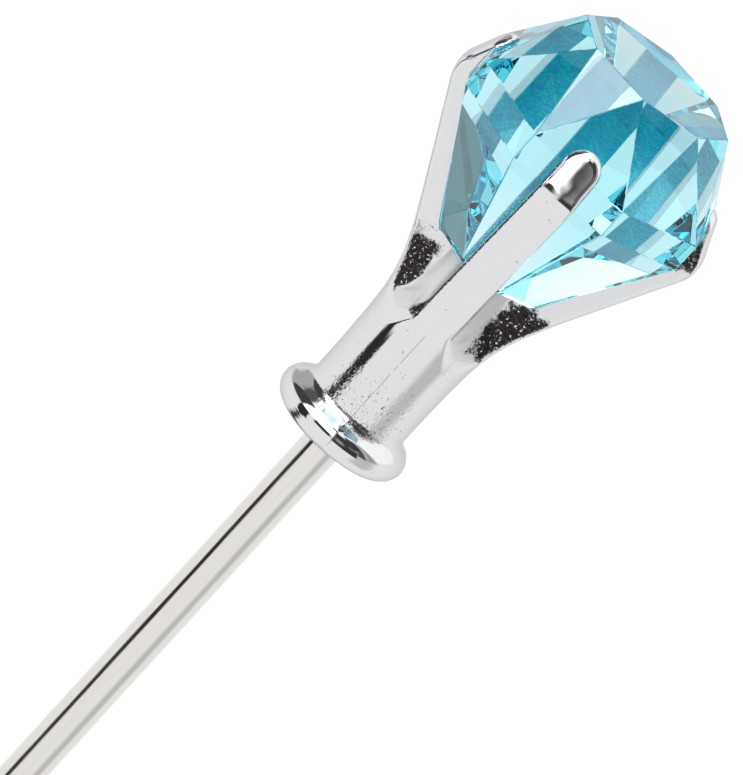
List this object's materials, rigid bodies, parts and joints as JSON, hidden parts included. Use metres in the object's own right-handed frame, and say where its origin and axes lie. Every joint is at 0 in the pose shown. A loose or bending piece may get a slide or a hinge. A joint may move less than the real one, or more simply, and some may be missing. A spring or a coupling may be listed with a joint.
{
  "type": "hat pin",
  "caption": "Straight hat pin: a faceted aqua crystal in a four-claw plated setting on a slim steel shaft, with a sliding friction guard over the point.",
  "frame": {"origin": "on the pin's axis, in the plane of the shoulder under the bead, where the pin seats against the hat", "axes": "+Z along the pin towards the crystal's table, +X and +Y through the claws; the point is at -Z"},
  "size_m": [0.009, 0.009, 0.0918],
  "materials": {
    "crystal": "polished, transparent aqua lead glass",
    "plated_casting": "bright rhodium-colour plate over a zinc casting, rough as cast between the claws",
    "drawn_steel": "satin, with fine draw lines along the wire",
    "bond": "grey cured adhesive",
    "plated_shell": "bright plate over drawn brass",
    "silicone": "matt translucent silicone"
  },
  "bodies": {
    "root": {"crystal": "crystal", "claw_setting": "plated_casting", "pin_shaft": "drawn_steel", "shaft_bond": "bond"},
    "guard": {"guard_shell": "plated_shell", "guard_grip": "silicone"}
  },
  "joints": [
    {"name": "guard_slide", "type": "slide", "parent": "root", "child": "guard", "axis": [0, 0, -1], "range_m": [0, 0.016]}
  ]
}
